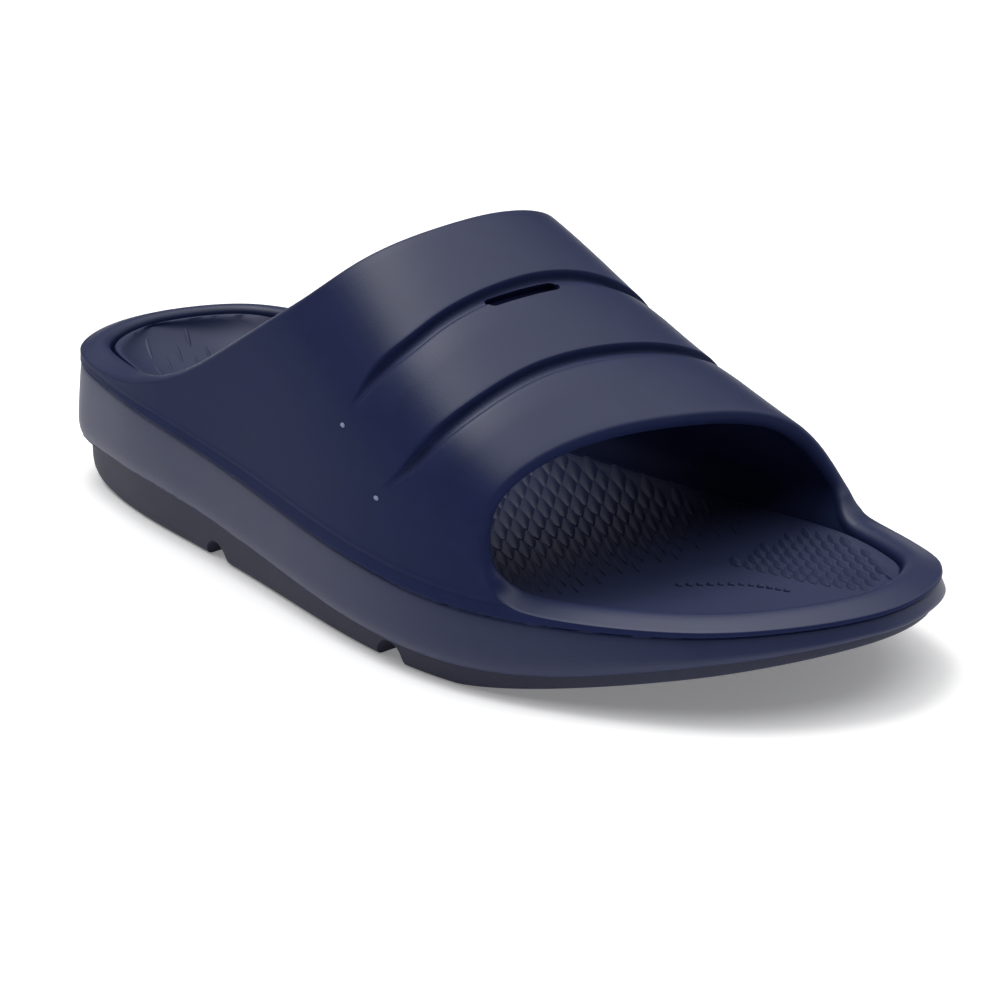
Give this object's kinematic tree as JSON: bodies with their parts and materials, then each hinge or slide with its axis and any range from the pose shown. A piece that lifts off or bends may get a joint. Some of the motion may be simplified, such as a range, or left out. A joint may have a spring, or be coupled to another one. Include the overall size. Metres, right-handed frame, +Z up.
{
  "type": "slide sandal",
  "caption": "Right slide sandal of moulded foam: one wide strap with two cross grooves and a vent slot, over a thick curved sole with toe spring.",
  "frame": {"origin": "middle of the plan box on the floor that the sole stands on", "axes": "+Z up, -Y towards the toe, +Y towards the heel, -X towards the lateral (little toe) side"},
  "size_m": [0.1164, 0.2932, 0.1011],
  "materials": {
    "outsole_foam": "matt moulded foam rubber, navy",
    "midsole_foam": "matt moulded foam, navy",
    "insole_foam": "matt moulded foam with a fine raised texture, navy",
    "upper_foam": "smooth matt moulded foam, navy"
  },
  "bodies": {
    "root": {"outsole": "outsole_foam", "midsole": "midsole_foam", "insole": "insole_foam", "upper": "upper_foam"}
  },
  "joints": []
}
